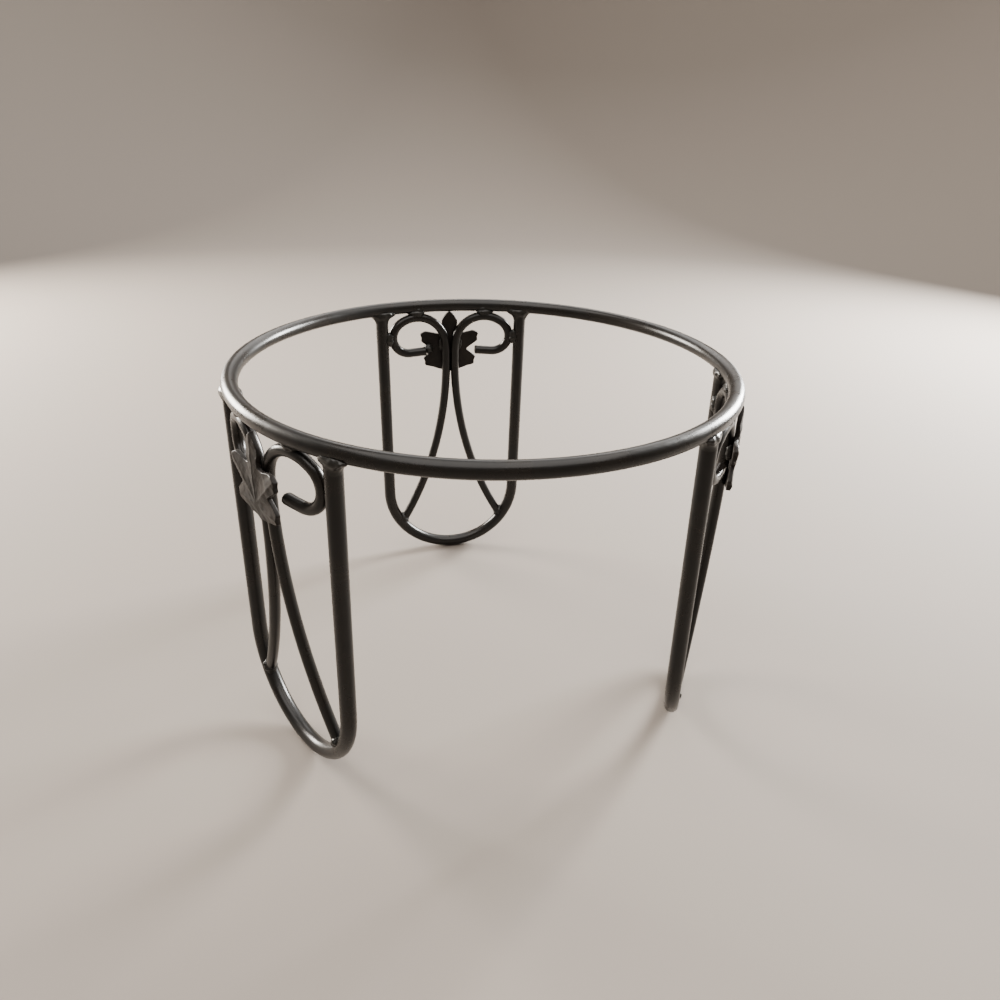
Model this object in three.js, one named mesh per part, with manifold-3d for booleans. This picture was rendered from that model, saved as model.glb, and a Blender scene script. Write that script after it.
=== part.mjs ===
// Wrought-iron stand for a bulb pan or flower pot, in millimetres, +Z up, feet on z = 0.
//
// A round-bar ring stands on three U-shaped round-bar legs, 120 degrees apart, that lean outward.
// Inside each U a pair of thinner scroll rods lies back to back under the ring, curls outward at the
// top and sweeps outward to the bend of the U at the bottom. The rods bow out of the flat U to meet
// the ring where it bulges past the leg. A five-lobed leaf lies on them, where the two rods meet.
// Every joint is a weld, and each weld bead is a solid of its own.
//
// Each leg is drawn in its own panel frame: x across the leg, y up the leg from the ring's centre
// plane, z outward through the panel.

import * as THREE from 'three';
import { mergeVertices } from 'three/addons/utils/BufferGeometryUtils.js';
import Module from 'manifold-3d';

// ---------------------------------------------------------------- driving dimensions

const RING_RADIUS = 101.6;          // centre line of the ring bar
const BAR_RADIUS = 3.175;           // ring and leg bar, 6.35 mm round
const ROD_RADIUS = 2.3;             // scroll rod, 4.6 mm round
const GAP = 0.3;                    // clearance left between pieces that touch
const LEG_COUNT = 3;
const LEG_AZIMUTHS = { rear: 90, left: 210, right: 330 };
const LEG_HALF_WIDTH = 37.1;        // centre line of an upright from the middle of its leg
const LEG_LENGTH = 146.4;           // ring centre plane to the centre line of the bend, along the leg
const LEG_LEAN = THREE.MathUtils.degToRad(1.64);

const PANEL_RADIUS = Math.sqrt(RING_RADIUS ** 2 - LEG_HALF_WIDTH ** 2);
const RING_HEIGHT = LEG_LENGTH * Math.cos(LEG_LEAN) + BAR_RADIUS;
const BEND_Y = LEG_HALF_WIDTH - LEG_LENGTH;

// The scroll rods run straight, back to back, between ROD_STRAIGHT_TOP and ROD_STRAIGHT_BOTTOM.
const ROD_X = ROD_RADIUS + GAP / 2;
const ROD_STRAIGHT_TOP = -26;
const ROD_STRAIGHT_BOTTOM = -31;
const SCROLL_ARCS = [
  { radius: 42, degrees: 9.5, steps: 2 },
  { radius: 15.9, degrees: 114.5, steps: 11 },
  { radius: 9, degrees: 148, steps: 11 },
];
const SCROLL_TAIL = 8.7;
const SWEEP_ARC = { radius: 190, degrees: 30.0, steps: 11 };
const ROD_BOW = 6.2;                // how far the rods stand out of the flat U under the ring
const ROD_BOW_END = 133;            // depth below the ring at which the rods are back in the flat

const LEAF_CENTRE_Y = -21;
const LEAF_THICKNESS = 1.8;
const LEAF_CURL = 0.5;              // how far the lobe tips curl away from the rods
const LEAF_REACH = 17;              // distance from the leaf's centre at which the curl is LEAF_CURL
// Half of the leaf's outline, from the tip of the top lobe down to the foot of the leaf.
const LEAF_OUTLINE = [
  [0, -3.4], [2.8, -5.8], [4.8, -8.8], [4.7, -11.8], [4.2, -16.2], [8.0, -16.4], [14.8, -15.6],
  [17.0, -17.2], [16.2, -20.8], [10.2, -26.2], [13.2, -28.4], [15.3, -31.4], [14.0, -34.2],
  [10.4, -35.8], [5.4, -36.5], [2.4, -37.3], [0, -38.0],
];

// ---------------------------------------------------------------- materials

function paintedIron(name, colour, roughness) {
  return new THREE.MeshStandardMaterial({ name, color: colour, roughness, metalness: 0.6 });
}

const BAR_PAINT = paintedIron('bar_paint', 0x2b2825, 0.42);
const LEAF_PAINT = paintedIron('leaf_paint', 0x302b27, 0.5);
const WELD_PAINT = paintedIron('weld_paint', 0x33302d, 0.38);

// ---------------------------------------------------------------- solids and booleans

const wasm = await Module();
wasm.setup();

function closedGeometry(geometry) {
  const plain = geometry.clone();
  plain.deleteAttribute('normal');
  plain.deleteAttribute('uv');
  return mergeVertices(plain, 1e-4);
}

function toManifold(geometry) {
  const closed = closedGeometry(geometry);
  const mesh = new wasm.Mesh({
    numProp: 3,
    vertProperties: new Float32Array(closed.getAttribute('position').array),
    triVerts: new Uint32Array(closed.getIndex().array),
  });
  return new wasm.Manifold(mesh);
}

function subtractAll(geometry, cutters) {
  let solid = toManifold(geometry);
  for (const cutter of cutters) {
    solid = solid.subtract(toManifold(cutter));
  }
  const result = solid.getMesh();
  const cut = new THREE.BufferGeometry();
  cut.setAttribute('position', new THREE.BufferAttribute(new Float32Array(result.vertProperties), 3));
  cut.setIndex(new THREE.BufferAttribute(new Uint32Array(result.triVerts), 1));
  return cut;
}

// ---------------------------------------------------------------- bars along a path

// A path through given points, so that every corner of the bar lies exactly where it is planned.
class BarPath extends THREE.Curve {
  constructor(points) {
    super();
    this.points = points;
  }

  getPointAt(u) {
    return this.points[Math.round(u * (this.points.length - 1))].clone();
  }

  getTangentAt(u) {
    const index = Math.round(u * (this.points.length - 1));
    const before = this.points[Math.max(index - 1, 0)];
    const after = this.points[Math.min(index + 1, this.points.length - 1)];
    const arriving = this.points[index].clone().sub(before).normalize();
    const leaving = after.clone().sub(this.points[index]).normalize();
    return arriving.add(leaving).normalize();
  }
}

// Corners of a regular polygon whose flats touch the bar's true circle.
function barSection(radius, sides, turn = 0) {
  const corner = radius / Math.cos(Math.PI / sides);
  const points = [];
  for (let i = 0; i < sides; i += 1) {
    const angle = ((i + 0.5) * 2 * Math.PI) / sides + turn;
    points.push(new THREE.Vector2(corner * Math.cos(angle), corner * Math.sin(angle)));
  }
  return points;
}

function barAlong(points, radius, sides, turn = 0) {
  return new THREE.ExtrudeGeometry(new THREE.Shape(barSection(radius, sides, turn)), {
    steps: points.length - 1,
    extrudePath: new BarPath(points),
  });
}

// The direction to the right of a heading.
function sideways(heading) {
  return new THREE.Vector2(Math.sin(heading), -Math.cos(heading));
}

// Follows arcs from a start point. Each arc gives the corners of the polygon drawn around it, and a
// positive turn is anticlockwise. The last point lies on the arc itself, with the heading reached.
function followArcs(start, heading, arcs) {
  const corners = [];
  let point = start.clone();
  let angle = heading;
  for (const { radius, degrees, steps } of arcs) {
    const turn = THREE.MathUtils.degToRad(degrees);
    const side = Math.sign(turn);
    const centre = sideways(angle).multiplyScalar(-side * radius).add(point);
    const cornerRadius = radius / Math.cos(turn / steps / 2);
    for (let i = 0; i < steps; i += 1) {
      const at = angle + (turn * (i + 0.5)) / steps;
      corners.push(sideways(at).multiplyScalar(side * cornerRadius).add(centre));
    }
    angle += turn;
    point = sideways(angle).multiplyScalar(side * radius).add(centre);
  }
  return { corners, end: point, heading: angle };
}

// How far the rods stand out of the flat U at a height y, and less so to the side, as the ring does.
function rodBow(y) {
  return ROD_BOW * (1 - (y / ROD_BOW_END) ** 2);
}

function scrollBow(x, y) {
  return rodBow(y) - x ** 2 / (2 * RING_RADIUS);
}

// ---------------------------------------------------------------- the ring

const RING_SEGMENTS = 72;
const RING_SIDES = 12;

function ringGeometry(radius) {
  const profile = barSection(radius, RING_SIDES).map((p) => p.setX(p.x + RING_RADIUS));
  const ring = new THREE.LatheGeometry([...profile, profile[0]], RING_SEGMENTS);
  return ring.rotateX(Math.PI / 2);
}

// ---------------------------------------------------------------- one leg, in its panel frame

const LEG_SIDES = 12;
const BEND_STEPS = 22;
const UPRIGHT_TOP = -(BAR_RADIUS + GAP);

function legPath() {
  const top = new THREE.Vector2(-LEG_HALF_WIDTH, UPRIGHT_TOP);
  const bendStart = new THREE.Vector2(-LEG_HALF_WIDTH, BEND_Y);
  const bend = followArcs(bendStart, -Math.PI / 2, [
    { radius: LEG_HALF_WIDTH, degrees: 180, steps: BEND_STEPS },
  ]);
  const farTop = new THREE.Vector2(LEG_HALF_WIDTH, UPRIGHT_TOP);
  return [top, ...bend.corners, farTop].map((p) => new THREE.Vector3(p.x, p.y, 0));
}

// The section is turned by the lean, so that a flat of the bar lies level under the bend.
function legGeometry(radius) {
  return barAlong(legPath(), radius, LEG_SIDES, LEG_LEAN);
}

const ROD_SIDES = 10;

function scrollPath(side) {
  const upper = followArcs(
    new THREE.Vector2(ROD_X, ROD_STRAIGHT_TOP),
    Math.PI / 2,
    SCROLL_ARCS.map((arc) => ({ ...arc, degrees: -arc.degrees })),
  );
  const tail = new THREE.Vector2(Math.cos(upper.heading), Math.sin(upper.heading));
  const tip = tail.multiplyScalar(SCROLL_TAIL).add(upper.end);
  const lower = followArcs(new THREE.Vector2(ROD_X, ROD_STRAIGHT_BOTTOM), -Math.PI / 2, [SWEEP_ARC]);
  const curl = [tip, ...upper.corners.reverse()].map(
    (p) => new THREE.Vector3(side * p.x, p.y, scrollBow(p.x, p.y)),
  );
  const sweep = [...lower.corners, lower.end].map(
    (p) => new THREE.Vector3(side * p.x, p.y, rodBow(p.y)),
  );
  return [...curl, ...sweep];
}

function scrollGeometry(side, radius) {
  return barAlong(scrollPath(side), radius, ROD_SIDES);
}

// The leaf is a thin disc turned on a lathe, whose rim is then drawn out to the leaf's outline and
// whose lobes curl away from the rods.
function leafGeometry(grow = 0) {
  const half = LEAF_THICKNESS / 2 + grow;
  const rim = 1 + grow / LEAF_REACH;
  const face = [[0, half], [0.5, half], [0.92, half]];
  const back = face.map(([fraction, height]) => [fraction, -height]).reverse();
  const profile = [...face, [rim, 0], ...back];
  const rightHalf = LEAF_OUTLINE.map(([x, y]) => new THREE.Vector2(x, y - LEAF_CENTRE_Y));
  const leftHalf = rightHalf.slice(1, -1).reverse().map((p) => new THREE.Vector2(-p.x, p.y));
  const outline = [...rightHalf, ...leftHalf];
  const disc = new THREE.LatheGeometry(profile.map(([r, z]) => new THREE.Vector2(r, z)), outline.length);
  const position = disc.getAttribute('position');
  for (let i = 0; i < position.count; i += 1) {
    const spoke = outline[Math.floor(i / profile.length) % outline.length];
    const [fraction, height] = profile[i % profile.length];
    const y = fraction * spoke.y + LEAF_CENTRE_Y;
    const curl = LEAF_CURL * ((fraction * spoke.length()) / LEAF_REACH) ** 2;
    position.setXYZ(i, fraction * spoke.x, y, rodBow(y) + curl + height);
  }
  return disc.translate(0, 0, ROD_RADIUS + GAP + LEAF_THICKNESS / 2);
}

// ---------------------------------------------------------------- weld beads, in the panel frame

const WELD_SEGMENTS = 10;
const WELD_RINGS = 6;

function beadBlank(centre, size, turn = 0) {
  const bead = new THREE.SphereGeometry(1, WELD_SEGMENTS, WELD_RINGS);
  return bead.scale(...size).rotateZ(turn).translate(...centre);
}

// The ring seen from a leg's panel frame, grown by the gap, as a cutter for that leg's beads.
function ringCutter() {
  const cutter = ringGeometry(BAR_RADIUS + GAP);
  const toWorld = panelMatrix(LEG_AZIMUTHS.rear);
  return cutter.translate(0, 0, RING_HEIGHT).applyMatrix4(toWorld.invert());
}

// A flared collar around the top of an upright, where it meets the underside of the ring.
function ringCollar(side, cutters) {
  const flare = [[0, -1.2], [5.2, -1.2], [5.0, -3.4], [4.4, -5.4], [4.0, -7.4], [3.85, -9.4], [0, -9.4]];
  const points = flare.reverse().map(([r, y]) => new THREE.Vector2(r, y));
  const collar = new THREE.LatheGeometry(points, WELD_SEGMENTS);
  collar.scale(1.1, 1, 0.86);
  collar.translate(side * LEG_HALF_WIDTH, 0, 0);
  return subtractAll(collar, [cutters.ring, cutters.leg]);
}

// A bead between the top of a scroll and the underside of the ring.
function scrollTopBead(side, cutters) {
  const blank = beadBlank([side * 18.5, -3.1, 5.0], [5.4, 3.3, 3.7]);
  return subtractAll(blank, [cutters.ring, cutters.rods[side]]);
}

// A bead on the inner face, in the groove between a scroll and its upright.
function scrollSideBead(side, cutters) {
  const blank = beadBlank([side * 33.9, -16.2, -1.6], [3.2, 4.4, 2.4]);
  return subtractAll(blank, [cutters.leg, cutters.rods[side]]);
}

// A bead in the groove between a scroll rod and the back of the leaf.
function leafBead(side, cutters) {
  const blank = beadBlank([side * 6.0, -21.5, 7.4], [2.2, 3.6, 2.0]);
  return subtractAll(blank, [cutters.leaf, cutters.rods[side]]);
}

// A bead that ties the end of a scroll to the side lobe of the leaf.
function scrollTipBead(side, cutters) {
  const tip = scrollPath(side)[0];
  const blank = beadBlank([tip.x - side * 1.4, tip.y + 0.8, tip.z + 1.7], [3.0, 3.0, 3.0]);
  return subtractAll(blank, [cutters.leaf, cutters.rods[side]]);
}

// A bead around the foot of a scroll rod, where it ends on the inside of the bend.
function footBead(side, cutters) {
  const foot = scrollPath(side).at(-1);
  const outward = Math.atan2(foot.y - BEND_Y, foot.x);
  const blank = beadBlank([foot.x + side * 0.9, foot.y - 0.5, foot.z], [3.0, 5.2, 4.3], outward);
  return subtractAll(blank, [cutters.leg, cutters.rods[side]]);
}

// ---------------------------------------------------------------- assembly

// Panel frame to world: the panel hinges on the chord of the ring between its two uprights.
function panelMatrix(azimuthDegrees) {
  const azimuth = THREE.MathUtils.degToRad(azimuthDegrees);
  const outward = new THREE.Vector3(Math.cos(azimuth), Math.sin(azimuth), 0);
  const across = new THREE.Vector3(-Math.sin(azimuth), Math.cos(azimuth), 0);
  const up = new THREE.Vector3(0, 0, Math.cos(LEG_LEAN)).addScaledVector(outward, -Math.sin(LEG_LEAN));
  const normal = across.clone().cross(up);
  const origin = outward.clone().multiplyScalar(PANEL_RADIUS).setZ(RING_HEIGHT);
  return new THREE.Matrix4().makeBasis(across, up, normal).setPosition(origin);
}

function addPiece(group, name, geometry, material) {
  const mesh = new THREE.Mesh(closedGeometry(geometry), material);
  mesh.name = name;
  group.add(mesh);
  return mesh;
}

const SIDES = { a: 1, b: -1 };
const TIP_WELD_LEG = 'rear';        // only here is the end of one scroll also welded to the leaf

function makeLeg(legName, azimuth, shapes) {
  const leg = new THREE.Group();
  addPiece(leg, `leg_bar_${legName}`, shapes.leg, BAR_PAINT);
  addPiece(leg, `leaf_${legName}`, shapes.leaf, LEAF_PAINT);
  for (const [sideName, side] of Object.entries(SIDES)) {
    const suffix = `${legName}_${sideName}`;
    addPiece(leg, `scroll_${suffix}`, shapes.scrolls[side], BAR_PAINT);
    for (const [beadName, beads] of Object.entries(shapes.beads)) {
      addPiece(leg, `${beadName}_${suffix}`, beads[side], WELD_PAINT);
    }
  }
  if (legName === TIP_WELD_LEG) {
    addPiece(leg, `weld_leaf_tip_${legName}`, shapes.tipBead, WELD_PAINT);
  }
  leg.applyMatrix4(panelMatrix(azimuth));
  return leg;
}

function makeLegShapes() {
  const cutters = {
    ring: ringCutter(),
    leg: legGeometry(BAR_RADIUS + GAP),
    leaf: leafGeometry(GAP),
    rods: { 1: scrollGeometry(1, ROD_RADIUS + GAP), [-1]: scrollGeometry(-1, ROD_RADIUS + GAP) },
  };
  const beadMakers = {
    weld_ring_upright: ringCollar,
    weld_ring_scroll: scrollTopBead,
    weld_upright_scroll: scrollSideBead,
    weld_leaf_scroll: leafBead,
    weld_foot_scroll: footBead,
  };
  const beads = {};
  for (const [name, make] of Object.entries(beadMakers)) {
    beads[name] = { 1: make(1, cutters), [-1]: make(-1, cutters) };
  }
  return {
    leg: legGeometry(BAR_RADIUS),
    leaf: leafGeometry(),
    scrolls: { 1: scrollGeometry(1, ROD_RADIUS), [-1]: scrollGeometry(-1, ROD_RADIUS) },
    beads,
    tipBead: scrollTipBead(1, cutters),
  };
}

const stand = new THREE.Group();
stand.name = 'pot_stand';
const ring = addPiece(stand, 'top_ring', ringGeometry(BAR_RADIUS), BAR_PAINT);
ring.position.z = RING_HEIGHT;
const legShapes = makeLegShapes();
for (const [legName, azimuth] of Object.entries(LEG_AZIMUTHS)) {
  stand.add(makeLeg(legName, azimuth, legShapes));
}

export default stand;
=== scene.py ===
"""Looks of a round wrought-iron pot stand.

A round-bar ring stands on three hooped legs. Each leg holds two thinner scroll rods, a lobed leaf
and the weld beads that join them. One leg's pieces are drawn in millimetres in its own panel frame:
x across the leg, y up the leg from the ring's centre plane, z outward through the panel. Each leg
then takes its own copy of them to its place on the ring, in metres.
"""

import math

import bmesh
import bpy
from mathutils import Matrix, Vector, noise


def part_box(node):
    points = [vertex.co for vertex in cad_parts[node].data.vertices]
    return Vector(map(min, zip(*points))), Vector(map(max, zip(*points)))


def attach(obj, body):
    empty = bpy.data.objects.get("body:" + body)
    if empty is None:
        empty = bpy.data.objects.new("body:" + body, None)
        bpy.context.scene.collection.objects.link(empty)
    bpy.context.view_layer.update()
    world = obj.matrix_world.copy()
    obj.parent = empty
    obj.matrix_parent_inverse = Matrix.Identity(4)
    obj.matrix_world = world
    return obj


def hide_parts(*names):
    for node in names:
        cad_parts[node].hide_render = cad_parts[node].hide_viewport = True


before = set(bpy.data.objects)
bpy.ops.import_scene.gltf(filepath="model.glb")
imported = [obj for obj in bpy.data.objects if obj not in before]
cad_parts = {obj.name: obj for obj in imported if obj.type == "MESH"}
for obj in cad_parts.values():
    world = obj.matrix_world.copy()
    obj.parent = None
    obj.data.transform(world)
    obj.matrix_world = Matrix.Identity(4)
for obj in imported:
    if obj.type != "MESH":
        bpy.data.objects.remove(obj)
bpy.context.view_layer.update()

# ---------------------------------------------------------------- sizes, in millimetres

MM = 0.001
ring_low, ring_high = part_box("top_ring")
BAR_RADIUS = (ring_high.z - ring_low.z) / 2 / MM
RING_RADIUS = (ring_high.x - ring_low.x) / 2 / MM - BAR_RADIUS
RING_HEIGHT = (ring_high.z + ring_low.z) / 2 / MM

LEG_AZIMUTHS = {"rear": 90, "left": 210, "right": 330}
LEG_HALF_WIDTH = 37.1
LEG_LEAN = math.radians(1.64)
LEG_LENGTH = (RING_HEIGHT - BAR_RADIUS) / math.cos(LEG_LEAN)
PANEL_RADIUS = math.sqrt(RING_RADIUS**2 - LEG_HALF_WIDTH**2)
BEND_Y = LEG_HALF_WIDTH - LEG_LENGTH
UPRIGHT_TOP = -1.5  # the uprights run a little way into the ring

ROD_RADIUS = 2.3
ROD_X = 2.4
ROD_STRAIGHT_TOP = -26
ROD_STRAIGHT_BOTTOM = -31
SCROLL_ARCS = [(42, 9.5, 6), (15.9, 114.5, 40), (9, 148, 36)]  # radius, degrees, steps
SCROLL_TAIL = 8.7
SWEEP_ARC = (190, 30.2, 60)
ROD_BOW = 6.2
ROD_BOW_END = 133

LEAF_THICKNESS = 1.5
LEAF_BACK = ROD_RADIUS + 0.3  # from the rods' centre line to the back of the leaf
LEAF_CURL = 0.5  # how far the top and the foot of the leaf bend back
LEAF_REACH = 17  # from the leaf's centre to its top and its foot
LEAF_CENTRE = Vector((0, -21, 0))
LEAF_VEIN_ROOT = Vector((0, -30.5, 0))
LEAF_OUTLINE = [
    (0, -3.7), (2.2, -5.7), (4.2, -8.6), (4.3, -11.4), (3.3, -14.0), (3.6, -16.0), (6.2, -16.5),
    (9.6, -15.6), (13.4, -14.9), (16.4, -16.6), (15.4, -18.6), (15.8, -20.6), (12.4, -22.9),
    (9.2, -25.2), (11.4, -27.0), (14.8, -29.8), (13.8, -31.6), (13.9, -34.0), (9.6, -34.9),
    (5.4, -36.4), (2.4, -36.6), (0, -37.8),
]
LEAF_LOBE_TIPS = [(0, -4.5), (15.0, -17.0), (13.4, -32.2), (-15.0, -17.0), (-13.4, -32.2)]
LEAF_RINGS = 36  # rings of faces from the leaf's rim to its middle
SWELL_HEIGHT, SWELL_WIDTH = 0.6, 3.6  # of a lobe, either side of its vein
RIDGE_HEIGHT, RIDGE_WIDTH = 0.18, 0.55  # of the vein itself
SIDE_VEIN_HEIGHT, SIDE_VEIN_LENGTH, SIDE_VEIN_PITCH = 0.05, 2.2, 3.2

RING_STEPS = 240
BAR_SIDES = 40
ROD_SIDES = 32

# ---------------------------------------------------------------- helpers for meshes


def panel_matrix(azimuth):
    """Panel frame in millimetres to the stand's frame in metres."""
    angle = math.radians(azimuth)
    outward = Vector((math.cos(angle), math.sin(angle), 0))
    across = Vector((-math.sin(angle), math.cos(angle), 0))
    up = Vector((0, 0, math.cos(LEG_LEAN))) - outward * math.sin(LEG_LEAN)
    turn = Matrix((across, up, across.cross(up))).transposed().to_4x4()
    origin = outward * PANEL_RADIUS + Vector((0, 0, RING_HEIGHT))
    return Matrix.Scale(MM, 4) @ Matrix.Translation(origin) @ turn


def finished_mesh(bm, name):
    """Closes seams, turns every face outwards, shades it smooth and hands back the mesh."""
    bmesh.ops.remove_doubles(bm, verts=bm.verts, dist=1e-4)
    bmesh.ops.recalc_face_normals(bm, faces=bm.faces)
    for face in bm.faces:
        face.smooth = True
    mesh = bpy.data.meshes.new(name)
    bm.to_mesh(mesh)
    bm.free()
    return mesh


def both_sides(mesh):
    """A mesh for side a of a leg, and its reflection across the middle of the leg for side b."""
    bm = bmesh.new()
    bm.from_mesh(mesh)
    bmesh.ops.scale(bm, vec=(-1, 1, 1), verts=bm.verts)
    return {"a": mesh, "b": finished_mesh(bm, mesh.name + "_b")}


def place_piece(name, mesh, matrix, material, cad_node):
    """Puts a copy of a mesh into the stand as one piece that stands for a CAD node."""
    placed = mesh.copy()
    placed.name = name
    placed.transform(matrix)
    placed.materials.append(material)
    piece = bpy.data.objects.new(name, placed)
    bpy.context.scene.collection.objects.link(piece)
    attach(piece, "root")
    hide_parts(cad_node)
    return piece


class DrawnBar:
    """A round bar drawn out from a disc in the plane of a leg, straight or round a bend."""

    def __init__(self, radius, sides, point, heading):
        self.bm = bmesh.new()
        self.radius = radius
        self.centres = {}
        self.point = Vector(point).to_3d()
        self.heading = heading
        facing = self.direction().to_track_quat("Z", "Y").to_matrix().to_4x4()
        place = Matrix.Translation(self.point) @ facing
        bmesh.ops.create_circle(self.bm, segments=sides, radius=radius, matrix=place)
        self.note_centres(lambda co: self.point)
        self.rim = list(self.bm.edges)

    def direction(self):
        return Vector((math.cos(self.heading), math.sin(self.heading), 0))

    def note_centres(self, centre_of):
        """Keeps, for each new vertex, the point of the bar's centre line that it lies around."""
        for vert in self.bm.verts:
            if vert not in self.centres:
                self.centres[vert] = centre_of(vert.co).copy()

    def straight(self, length, steps):
        for _ in range(steps):
            drawn = bmesh.ops.extrude_edge_only(self.bm, edges=self.rim)["geom"]
            verts = [e for e in drawn if isinstance(e, bmesh.types.BMVert)]
            shift = self.direction() * length / steps
            bmesh.ops.translate(self.bm, vec=shift, verts=verts)
            self.rim = [e for e in drawn if isinstance(e, bmesh.types.BMEdge)]
            self.point = self.point + shift
            self.note_centres(lambda co: self.point)

    def bend(self, radius, degrees, steps):
        """A positive bend turns anticlockwise, seen from outside the leg."""
        angle = math.radians(degrees)
        side = math.copysign(1, angle)
        left = Vector((-math.sin(self.heading), math.cos(self.heading), 0))
        centre = self.point + left * side * radius
        verts = list(dict.fromkeys(vert for edge in self.rim for vert in edge.verts))
        drawn = bmesh.ops.spin(
            self.bm, geom=verts + self.rim, cent=centre, axis=(0, 0, 1), angle=angle, steps=steps
        )["geom_last"]
        self.rim = [e for e in drawn if isinstance(e, bmesh.types.BMEdge)]
        self.point = centre + Matrix.Rotation(angle, 3, "Z") @ (self.point - centre)
        self.heading += angle

        def on_arc(co):
            spoke = Vector((co.x - centre.x, co.y - centre.y, 0))
            return centre + spoke.normalized() * radius

        self.note_centres(on_arc)

    def capped(self, rounding):
        """Closes both open ends and rounds their rims."""
        ends = [edge for edge in self.bm.edges if edge.is_boundary]
        bmesh.ops.holes_fill(self.bm, edges=ends, sides=0)
        bmesh.ops.bevel(
            self.bm, geom=ends, offset=rounding, affect="EDGES", segments=4, profile=0.5, material=-1
        )
        return self.bm


# ---------------------------------------------------------------- the ring and the hoops


def ring_bar():
    """A round section carried once round the stand."""
    bm = bmesh.new()
    section = Matrix.Translation((RING_RADIUS, 0, RING_HEIGHT)) @ Matrix.Rotation(math.pi / 2, 4, "X")
    bmesh.ops.create_circle(bm, segments=BAR_SIDES, radius=BAR_RADIUS, matrix=section)
    bmesh.ops.spin(
        bm,
        geom=bm.verts[:] + bm.edges[:],
        cent=(0, 0, RING_HEIGHT),
        axis=(0, 0, 1),
        angle=2 * math.pi,
        steps=RING_STEPS,
        use_merge=True,
    )
    return finished_mesh(bm, "ring_bar")


def leg_hoop():
    bar = DrawnBar(BAR_RADIUS, BAR_SIDES, (-LEG_HALF_WIDTH, UPRIGHT_TOP), -math.pi / 2)
    upright = UPRIGHT_TOP - BEND_Y
    bar.straight(upright, 24)
    bar.bend(LEG_HALF_WIDTH, 180, 72)
    bar.straight(upright, 24)
    return finished_mesh(bar.capped(0.3), "leg_hoop")


# ---------------------------------------------------------------- the scroll rods


def rod_bow(y):
    """How far the rods stand out of the flat hoop at a height y."""
    return ROD_BOW * (1 - (y / ROD_BOW_END) ** 2)


def scroll_bow(centre):
    """The bow of a rod's centre line; the scrolls also follow the ring's curve to the side."""
    share = min(max((centre.y - ROD_STRAIGHT_BOTTOM) / 3, 0), 1)
    return rod_bow(centre.y) - share * centre.x**2 / (2 * RING_RADIUS)


def scroll_rod():
    """Returns the mesh, and the centres of its tip and its foot."""
    bar = DrawnBar(ROD_RADIUS, ROD_SIDES, (ROD_X, ROD_STRAIGHT_TOP), math.pi / 2)
    start = bar.rim
    for radius, degrees, steps in SCROLL_ARCS:
        bar.bend(radius, -degrees, steps)
    bar.straight(SCROLL_TAIL, 8)
    tip = bar.point.copy()
    bar.rim = start
    bar.point = Vector((ROD_X, ROD_STRAIGHT_TOP, 0))
    bar.heading = -math.pi / 2
    bar.straight(ROD_STRAIGHT_TOP - ROD_STRAIGHT_BOTTOM, 6)
    bar.bend(*SWEEP_ARC)
    foot = bar.point.copy()
    for vert, centre in bar.centres.items():
        vert.co.z += scroll_bow(centre)
    tip.z, foot.z = scroll_bow(tip), rod_bow(foot.y)
    return finished_mesh(bar.capped(0.5), "scroll_rod"), tip, foot


# ---------------------------------------------------------------- the leaf


def distance_to_vein(point, tip):
    """Distance from a point to the vein that runs from the root to a tip, and how far along it is."""
    vein = Vector((*tip, 0)) - LEAF_VEIN_ROOT
    along = (point - LEAF_VEIN_ROOT).dot(vein) / vein.length_squared
    nearest = LEAF_VEIN_ROOT + vein * min(max(along, 0), 1)
    return (point - nearest).length, along * vein.length


def leaf_relief(point):
    """Height of the leaf's face: each lobe swells towards its vein, which stands out as a ridge."""
    swell, ridge, side_veins = 0.0, 0.0, 0.0
    for tip in LEAF_LOBE_TIPS:
        away, along = distance_to_vein(point, tip)
        swell = max(swell, math.exp(-((away / SWELL_WIDTH) ** 2)))
        ridge = max(ridge, math.exp(-((away / RIDGE_WIDTH) ** 2)))
        comb = max(math.sin((along - 1.3 * away) * 2 * math.pi / SIDE_VEIN_PITCH), 0) ** 6
        side_veins = max(side_veins, comb * math.exp(-((away / SIDE_VEIN_LENGTH) ** 2)))
    return SWELL_HEIGHT * swell + RIDGE_HEIGHT * ridge + SIDE_VEIN_HEIGHT * side_veins


def leaf_curl(y):
    """The leaf bends back a little towards its top and its foot."""
    return LEAF_CURL * ((y - LEAF_CENTRE.y) / LEAF_REACH) ** 2


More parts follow.
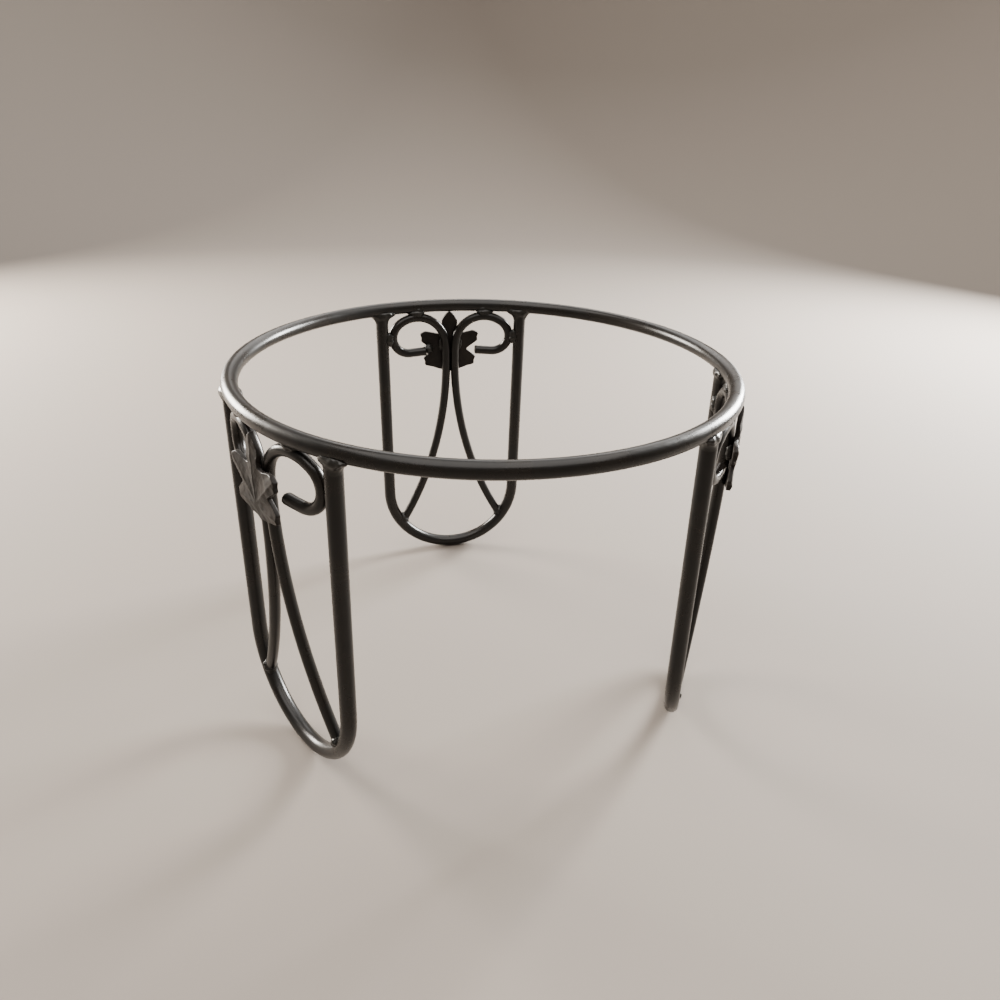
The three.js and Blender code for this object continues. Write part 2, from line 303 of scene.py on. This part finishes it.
def leaf_plate():
    bm = bmesh.new()
    half = [bm.verts.new((x, y, 0)) for x, y in LEAF_OUTLINE]
    edges = [bm.edges.new(pair) for pair in zip(half, half[1:])]
    bmesh.ops.subdivide_edges(bm, edges=edges, cuts=5)
    inner = [vert for vert in bm.verts if vert.co.x > 0]
    for _ in range(3):
        bmesh.ops.smooth_vert(bm, verts=inner, factor=0.5, use_axis_x=True, use_axis_y=True)
    bmesh.ops.mirror(bm, geom=bm.verts[:] + bm.edges[:], merge_dist=1e-3, axis="X")
    bmesh.ops.remove_doubles(bm, verts=bm.verts, dist=1e-3)
    rim = list(bm.edges)
    for step in range(LEAF_RINGS, 1, -1):
        drawn = bmesh.ops.extrude_edge_only(bm, edges=rim)["geom"]
        verts = [e for e in drawn if isinstance(e, bmesh.types.BMVert)]
        share = (step - 1) / step
        bmesh.ops.scale(bm, vec=(share, share, 1), verts=verts, space=Matrix.Translation(-LEAF_CENTRE))
        rim = [e for e in drawn if isinstance(e, bmesh.types.BMEdge)]
    middle = bmesh.ops.holes_fill(bm, edges=rim, sides=0)["faces"]
    bmesh.ops.poke(bm, faces=middle)
    bmesh.ops.recalc_face_normals(bm, faces=bm.faces)
    if bm.faces[0].normal.z > 0:
        bmesh.ops.reverse_faces(bm, faces=bm.faces)
    bmesh.ops.solidify(bm, geom=bm.faces[:], thickness=LEAF_THICKNESS)
    brink = [e for e in bm.edges if e.is_manifold and e.calc_face_angle() > math.radians(60)]
    bmesh.ops.bevel(
        bm, geom=brink, offset=0.3, affect="EDGES", segments=3, profile=0.5, material=-1
    )
    return bm


def leaf_piece():
    bm = leaf_plate()
    top = max(vert.co.z for vert in bm.verts)
    for vert in bm.verts:
        height = vert.co.z - top
        face = 1 + height / LEAF_THICKNESS
        flat = Vector((vert.co.x, vert.co.y, 0))
        rough = 0.2 * noise.noise(flat * 0.35) + 0.05 * noise.noise(flat * 1.3)
        vert.co.z = (
            rod_bow(flat.y)
            + LEAF_BACK
            - leaf_curl(flat.y)
            + face * LEAF_THICKNESS
            + (0.3 + 0.7 * face) * (leaf_relief(flat) + rough)
        )
    return finished_mesh(bm, "leaf_plate")


# ---------------------------------------------------------------- weld beads


def weld_bead(name, centre, size, turn=0.0, ripple=0.06, seed=0):
    """A lump of run metal, longest along y, with the ripples that a moving puddle leaves."""
    bm = bmesh.new()
    bmesh.ops.create_icosphere(bm, subdivisions=5, radius=1)
    for vert in bm.verts:
        waves = math.sin(vert.co.y * 9 + 2.5 * vert.co.x**2 + seed)
        lump = noise.noise(vert.co * 1.6 + Vector((seed, 0, 0)))
        fine = noise.noise(vert.co * 5 + Vector((0, seed, 0)))
        vert.co *= 1 + ripple * waves + 0.12 * lump + 0.03 * fine
    bmesh.ops.scale(bm, vec=size, verts=bm.verts)
    bmesh.ops.rotate(bm, cent=(0, 0, 0), matrix=Matrix.Rotation(turn, 3, "Z"), verts=bm.verts)
    bmesh.ops.translate(bm, vec=centre, verts=bm.verts)
    return finished_mesh(bm, name)


COLLAR_PROFILE = [  # radius and height of the flare below the ring
    (2.9, -8.6), (3.12, -7.8), (3.25, -6.9), (3.5, -5.9), (4.0, -5.0), (4.8, -4.2),
    (5.6, -3.5), (6.2, -2.8), (6.3, -1.9), (5.7, -1.2), (4.6, -0.9), (2.0, -0.8),
]


def collar_bead():
    """A flare of weld metal around the top of an upright, spread along the ring above it."""
    bm = bmesh.new()
    verts = [bm.verts.new((radius, height, 0)) for radius, height in COLLAR_PROFILE]
    edges = [bm.edges.new(pair) for pair in zip(verts, verts[1:])]
    bmesh.ops.subdivide_edges(bm, edges=edges, cuts=3)
    bmesh.ops.smooth_vert(bm, verts=bm.verts, factor=0.5, use_axis_x=True, use_axis_y=True)
    bmesh.ops.spin(
        bm,
        geom=bm.verts[:] + bm.edges[:],
        cent=(0, 0, 0),
        axis=(0, 1, 0),
        angle=2 * math.pi,
        steps=64,
        use_merge=True,
    )
    bmesh.ops.holes_fill(bm, edges=[e for e in bm.edges if e.is_boundary], sides=0)
    for vert in bm.verts:
        spread = min(max((vert.co.y + 7.5) / 5, 0), 1)
        lump = 1 + spread * (
            0.14 * noise.noise(vert.co * 0.4)
            + 0.02 * math.sin(math.atan2(vert.co.z, vert.co.x) * 9 + vert.co.y)
        )
        vert.co.x *= lump * (1 + 0.1 * spread)
        vert.co.z *= lump * (1 - 0.42 * spread)
    bmesh.ops.translate(bm, vec=(LEG_HALF_WIDTH, 0, 0), verts=bm.verts)
    return finished_mesh(bm, "collar_bead")


# ---------------------------------------------------------------- shader node groups


class NodeKit:
    """Adds nodes to a tree and links them by name."""

    def __init__(self, tree):
        self.tree = tree

    def add(self, kind, **settings):
        node = self.tree.nodes.new(kind)
        for name, value in settings.items():
            setattr(node, name, value)
        return node

    def link(self, source, target):
        self.tree.links.new(source, target)

    def noise(self, coordinates, scale, detail, roughness):
        node = self.add("ShaderNodeTexNoise")
        node.inputs["Detail"].default_value = detail
        node.inputs["Roughness"].default_value = roughness
        self.link(coordinates, node.inputs["Vector"])
        if isinstance(scale, (int, float)):
            node.inputs["Scale"].default_value = scale
        else:
            self.link(scale, node.inputs["Scale"])
        return node.outputs["Fac"]

    def math(self, operation, first, second=None, clamp=False):
        node = self.add("ShaderNodeMath", operation=operation, use_clamp=clamp)
        for socket, value in zip(node.inputs, (first, second)):
            if value is None:
                continue
            if isinstance(value, (int, float)):
                socket.default_value = value
            else:
                self.link(value, socket)
        return node.outputs["Value"]

    def remap(self, value, low, high, to_low=0.0, to_high=1.0):
        node = self.add("ShaderNodeMapRange", clamp=True, interpolation_type="SMOOTHSTEP")
        self.link(value, node.inputs["Value"])
        node.inputs["From Min"].default_value = low
        node.inputs["From Max"].default_value = high
        node.inputs["To Min"].default_value = to_low
        node.inputs["To Max"].default_value = to_high
        return node.outputs["Result"]

    def mix(self, share, first, second):
        node = self.add("ShaderNodeMix", data_type="RGBA")
        self.link(share, node.inputs["Factor"])
        for socket, value in ((node.inputs[6], first), (node.inputs[7], second)):
            if isinstance(value, tuple):
                socket.default_value = (*value, 1)
            else:
                self.link(value, socket)
        return node.outputs[2]


def new_group(name, inputs, outputs):
    """An empty node group with named sockets. Returns its tree, kit, input node and output node."""
    tree = bpy.data.node_groups.new(name, "ShaderNodeTree")
    for label, kind, value in inputs:
        socket = tree.interface.new_socket(label, in_out="INPUT", socket_type=f"NodeSocket{kind}")
        if value is not None:
            socket.default_value = value
    for label, kind in outputs:
        tree.interface.new_socket(label, in_out="OUTPUT", socket_type=f"NodeSocket{kind}")
    kit = NodeKit(tree)
    return tree, kit, kit.add("NodeGroupInput"), kit.add("NodeGroupOutput")


def paint_mottle_group():
    """Cloudy change of tone in hand-brushed paint, from its deep tone to its warm tone."""
    tree, kit, given, out = new_group(
        "paint_mottle",
        [
            ("Coordinates", "Vector", None),
            ("Cloud Scale", "Float", 60.0),
            ("Deep Tone", "Color", (0.01, 0.01, 0.01, 1)),
            ("Warm Tone", "Color", (0.04, 0.03, 0.02, 1)),
            ("Amount", "Float", 1.0),
        ],
        [("Colour", "Color"), ("Clouds", "Float")],
    )
    clouds = kit.noise(given.outputs["Coordinates"], given.outputs["Cloud Scale"], 5, 0.6)
    fine_scale = kit.math("MULTIPLY", given.outputs["Cloud Scale"], 9.0)
    fine = kit.noise(given.outputs["Coordinates"], fine_scale, 3, 0.5)
    broad = kit.remap(clouds, 0.38, 0.66)
    share = kit.math("ADD", kit.math("MULTIPLY", broad, 0.75), kit.math("MULTIPLY", fine, 0.25))
    share = kit.math("MULTIPLY", share, given.outputs["Amount"], clamp=True)
    colour = kit.mix(share, given.outputs["Deep Tone"], given.outputs["Warm Tone"])
    kit.link(colour, out.inputs["Colour"])
    kit.link(share, out.inputs["Clouds"])
    return tree


def paint_grain_group():
    """Height of the fine orange-peel grain of sprayed paint, with a few settled specks."""
    tree, kit, given, out = new_group(
        "paint_grain",
        [
            ("Coordinates", "Vector", None),
            ("Grain Scale", "Float", 1400.0),
            ("Specks", "Float", 0.5),
        ],
        [("Height", "Float")],
    )
    peel = kit.noise(given.outputs["Coordinates"], given.outputs["Grain Scale"], 2, 0.45)
    cells = kit.add("ShaderNodeTexVoronoi")
    kit.link(given.outputs["Coordinates"], cells.inputs["Vector"])
    speck_scale = kit.math("MULTIPLY", given.outputs["Grain Scale"], 0.22)
    kit.link(speck_scale, cells.inputs["Scale"])
    near = kit.remap(cells.outputs["Distance"], 0.05, 0.22, 1.0, 0.0)
    chosen = kit.noise(given.outputs["Coordinates"], 240.0, 1, 0.5)
    specks = kit.math("MULTIPLY", near, kit.remap(chosen, 0.52, 0.62))
    specks = kit.math("MULTIPLY", specks, given.outputs["Specks"])
    height = kit.math("ADD", kit.math("MULTIPLY", peel, 0.6), specks)
    kit.link(height, out.inputs["Height"])
    return tree


def rubbed_wear_group():
    """Mask of paint rubbed thin: under the feet, along the top of the ring, and in stray nicks."""
    tree, kit, given, out = new_group(
        "rubbed_wear",
        [
            ("Coordinates", "Vector", None),
            ("Patch Scale", "Float", 160.0),
            ("Amount", "Float", 0.5),
            ("Foot Height", "Float", 0.004),
        ],
        [("Wear", "Float")],
    )
    place = kit.add("ShaderNodeSeparateXYZ")
    kit.link(given.outputs["Coordinates"], place.inputs["Vector"])
    facing = kit.add("ShaderNodeSeparateXYZ")
    kit.link(kit.add("ShaderNodeNewGeometry").outputs["Normal"], facing.inputs["Vector"])
    patches = kit.noise(given.outputs["Coordinates"], given.outputs["Patch Scale"], 6, 0.7)
    torn = kit.remap(patches, 0.50, 0.60)
    nicks = kit.remap(kit.noise(given.outputs["Coordinates"], 420.0, 4, 0.6), 0.69, 0.73)
    height = kit.math("DIVIDE", place.outputs["Z"], given.outputs["Foot Height"])
    foot = kit.remap(height, 0.0, 1.0, 1.0, 0.0)
    crown = kit.remap(place.outputs["Z"], RING_HEIGHT * MM, (RING_HEIGHT + BAR_RADIUS) * MM)
    crown = kit.math("MULTIPLY", crown, kit.remap(facing.outputs["Z"], 0.8, 1.0))
    rubbed = kit.math("MAXIMUM", foot, kit.math("MULTIPLY", crown, 0.5))
    rubbed = kit.math("MULTIPLY", rubbed, torn)
    wear = kit.math("MAXIMUM", rubbed, kit.math("MULTIPLY", nicks, 0.7))
    wear = kit.math("MULTIPLY", wear, given.outputs["Amount"], clamp=True)
    kit.link(wear, out.inputs["Wear"])
    return tree


GROUPS = {
    "mottle": paint_mottle_group(),
    "grain": paint_grain_group(),
    "wear": rubbed_wear_group(),
}

# ---------------------------------------------------------------- materials


def painted_iron(name, deep, warm, bare, shine, roughness, grain, bump, wear):
    """Satin paint over iron. Tones are linear colours; roughness runs from glossy to dull."""
    material = bpy.data.materials.new(name)
    material.use_nodes = True
    tree = material.node_tree
    kit = NodeKit(tree)
    shader = tree.nodes["Principled BSDF"]
    coordinates = kit.add("ShaderNodeTexCoord").outputs["Object"]

    def group(key, **values):
        node = kit.add("ShaderNodeGroup", node_tree=GROUPS[key])
        kit.link(coordinates, node.inputs["Coordinates"])
        for label, value in values.items():
            node.inputs[label.replace("_", " ")].default_value = value
        return node.outputs

    mottle = group("mottle", Deep_Tone=(*deep, 1), Warm_Tone=(*warm, 1), Cloud_Scale=55.0)
    peel = group("grain", Grain_Scale=grain)
    rubbed = group("wear", Amount=wear)
    colour = kit.mix(rubbed["Wear"], mottle["Colour"], bare)
    kit.link(colour, shader.inputs["Base Color"])
    kit.link(rubbed["Wear"], shader.inputs["Metallic"])

    glossy, dull = roughness
    cloudy = kit.remap(mottle["Clouds"], 0.0, 1.0, dull, glossy)
    smudges = kit.noise(coordinates, 320.0, 3, 0.6)
    rough = kit.math("ADD", cloudy, kit.math("MULTIPLY", kit.math("SUBTRACT", smudges, 0.5), 0.08))
    rough = kit.math("ADD", rough, kit.math("MULTIPLY", rubbed["Wear"], 0.12), clamp=True)
    kit.link(rough, shader.inputs["Roughness"])
    shader.inputs["Specular IOR Level"].default_value = shine

    bump_node = kit.add("ShaderNodeBump")
    bump_node.inputs["Strength"].default_value = bump
    bump_node.inputs["Distance"].default_value = 0.00012
    kit.link(peel["Height"], bump_node.inputs["Height"])
    kit.link(bump_node.outputs["Normal"], shader.inputs["Normal"])
    return material


BAR_PAINT = painted_iron(
    "satin_bronze_black",
    deep=(0.003, 0.003, 0.003),
    warm=(0.008, 0.0065, 0.0052),
    bare=(0.05, 0.038, 0.028),
    shine=0.3,
    roughness=(0.25, 0.33),
    grain=1500.0,
    bump=0.12,
    wear=0.22,
)
LEAF_PAINT = painted_iron(
    "leaf_bronze_black",
    deep=(0.008, 0.007, 0.0063),
    warm=(0.015, 0.0115, 0.0095),
    bare=(0.06, 0.045, 0.035),
    shine=0.2,
    roughness=(0.42, 0.56),
    grain=1100.0,
    bump=0.5,
    wear=0.5,
)
WELD_PAINT = painted_iron(
    "weld_gloss_black",
    deep=(0.0045, 0.0047, 0.0043),
    warm=(0.013, 0.0125, 0.011),
    bare=(0.06, 0.052, 0.042),
    shine=0.32,
    roughness=(0.27, 0.38),
    grain=900.0,
    bump=0.35,
    wear=0.25,
)

# ---------------------------------------------------------------- the stand put together


def beads_of_a_leg(foot, tip):
    """The five beads on the side of a leg where x is positive, and the bead at the scroll's end."""
    foot_spoke = Vector((foot.x, foot.y - BEND_Y))
    foot_turn = math.atan2(foot_spoke.y, foot_spoke.x)
    beads = {
        "weld_ring_upright": collar_bead(),
        "weld_ring_scroll": weld_bead("scroll_top_bead", (18.5, -2.9, 4.4), (4.6, 2.7, 2.9), seed=1),
        "weld_upright_scroll": weld_bead("scroll_side_bead", (33.8, -16, -0.8), (2.3, 4.0, 2.1), seed=2),
        "weld_leaf_scroll": weld_bead("leaf_bead", (4.9, -21.5, 7.6), (1.7, 3.4, 1.5), seed=3),
        "weld_foot_scroll": weld_bead(
            "foot_bead", foot + Vector((0.7, -0.7, 0)), (2.1, 3.6, 3.1), turn=foot_turn, seed=4
        ),
    }
    tip_centre = tip + Vector((-1.4, 0.8, 1.8))
    return beads, weld_bead("scroll_tip_bead", tip_centre, (2.6, 2.6, 2.6), seed=5)


PIECE_NAMES = {
    "weld_ring_upright": "collar_bead",
    "weld_ring_scroll": "scroll_top_bead",
    "weld_upright_scroll": "scroll_side_bead",
    "weld_leaf_scroll": "leaf_back_bead",
    "weld_foot_scroll": "rod_foot_bead",
}


def build_stand():
    ring = ring_bar()
    place_piece("ring_round_bar", ring, Matrix.Scale(MM, 4), BAR_PAINT, "top_ring")
    hoop, leaf = leg_hoop(), leaf_piece()
    rod, tip, foot = scroll_rod()
    beads, tip_bead = beads_of_a_leg(foot, tip)
    rods = both_sides(rod)
    beads = {node: both_sides(bead) for node, bead in beads.items()}
    for leg, azimuth in LEG_AZIMUTHS.items():
        place = panel_matrix(azimuth)
        place_piece(f"leg_hoop_{leg}", hoop, place, BAR_PAINT, f"leg_bar_{leg}")
        place_piece(f"leaf_plate_{leg}", leaf, place, LEAF_PAINT, f"leaf_{leg}")
        for side in "ab":
            end = f"{leg}_{side}"
            place_piece(f"scroll_rod_{end}", rods[side], place, BAR_PAINT, f"scroll_{end}")
            for node, bead in beads.items():
                name = f"{PIECE_NAMES[node]}_{end}"
                place_piece(name, bead[side], place, WELD_PAINT, f"{node}_{end}")
    place = panel_matrix(LEG_AZIMUTHS["rear"])
    node = "weld_leaf_tip_rear"
    place_piece("scroll_tip_bead_rear", tip_bead, place, WELD_PAINT, node)


build_stand()

# ---------------------------------------------------------------- floor, light and camera


def plain_material(name, colour, roughness):
    material = bpy.data.materials.new(name)
    material.use_nodes = True
    shader = material.node_tree.nodes["Principled BSDF"]
    shader.inputs["Base Color"].default_value = (*colour, 1)
    shader.inputs["Roughness"].default_value = roughness
    return material


FLOOR_RADIUS = 1.2
SWEEP_RADIUS = 0.6
WALL_HEIGHT = 1.0


def pale_floor():
    """A round floor that sweeps up into a wall all round, so that no edge shows."""
    bm = bmesh.new()
    verts = [bm.verts.new((x, 0, 0)) for x in (0, 0.5, FLOOR_RADIUS)]
    edges = [bm.edges.new(pair) for pair in zip(verts, verts[1:])]
    sweep = bmesh.ops.spin(
        bm,
        geom=[verts[-1]],
        cent=(FLOOR_RADIUS, 0, SWEEP_RADIUS),
        axis=(0, -1, 0),
        angle=math.pi / 2,
        steps=24,
    )
    rim = [e for e in sweep["geom_last"] if isinstance(e, bmesh.types.BMVert)]
    lifted = bmesh.ops.extrude_vert_indiv(bm, verts=rim)["verts"]
    bmesh.ops.translate(bm, vec=(0, 0, WALL_HEIGHT), verts=lifted)
    bmesh.ops.spin(
        bm,
        geom=bm.verts[:] + bm.edges[:],
        cent=(0, 0, 0),
        axis=(0, 0, 1),
        angle=2 * math.pi,
        steps=96,
        use_merge=True,
    )
    mesh = finished_mesh(bm, "pale_floor")
    mesh.materials.append(plain_material("pale_paper", (0.17, 0.148, 0.128), 0.9))
    floor = bpy.data.objects.new("pale_floor", mesh)
    bpy.context.scene.collection.objects.link(floor)


def soft_light(name, azimuth, elevation, distance, size, power, colour):
    """A rectangular soft light that faces the stand; azimuth runs from +X towards +Y."""
    light = bpy.data.lights.new(name, "AREA")
    light.shape = "RECTANGLE"
    light.size, light.size_y = size
    light.energy = power
    light.color = colour
    lamp = bpy.data.objects.new(name, light)
    bpy.context.scene.collection.objects.link(lamp)
    a, e = math.radians(azimuth), math.radians(elevation)
    towards = Vector((math.cos(a) * math.cos(e), math.sin(a) * math.cos(e), math.sin(e)))
    aim = Vector((0, 0, RING_HEIGHT * MM * 0.7))
    lamp.location = aim + towards * distance
    lamp.rotation_euler = towards.to_track_quat("Z", "Y").to_euler()


def studio():
    pale_floor()
    soft_light("window_right", 26, 18, 1.1, (0.34, 0.46), 72, (1.0, 0.99, 0.96))
    soft_light("window_left", 138, 14, 1.1, (0.42, 0.42), 46, (1.0, 0.93, 0.84))
    soft_light("sky_behind", 72, 38, 1.5, (1.4, 0.7), 14, (1.0, 0.96, 0.92))
    soft_light("ceiling", -90, 80, 1.6, (2.4, 2.0), 64, (1.0, 0.94, 0.88))
    world = bpy.data.worlds.new("soft_room")
    world.use_nodes = True
    world.node_tree.nodes["Background"].inputs["Color"].default_value = (0.95, 0.96, 1.0, 1)
    world.node_tree.nodes["Background"].inputs["Strength"].default_value = 0.15
    bpy.context.scene.world = world


def camera():
    lens = bpy.data.cameras.new("camera")
    lens.sensor_width = 36
    lens.lens = 26.16
    lens.clip_start, lens.clip_end = 0.01, 20
    eye = bpy.data.objects.new("camera", lens)
    bpy.context.scene.collection.objects.link(eye)
    yaw, pitch, roll = math.radians(-12.724), math.radians(-28.381), math.radians(1.809)
    forward = Vector((-math.sin(yaw) * math.cos(pitch), math.cos(yaw) * math.cos(pitch), math.sin(pitch)))
    level = forward.cross(Vector((0, 0, 1))).normalized()
    right = Matrix.Rotation(-roll, 3, forward) @ level
    turn = Matrix((right, right.cross(forward), -forward)).transposed().to_4x4()
    eye.matrix_world = Matrix.Translation((-0.05727, -0.28928, 0.24401)) @ turn
    bpy.context.scene.camera = eye


studio()
camera()
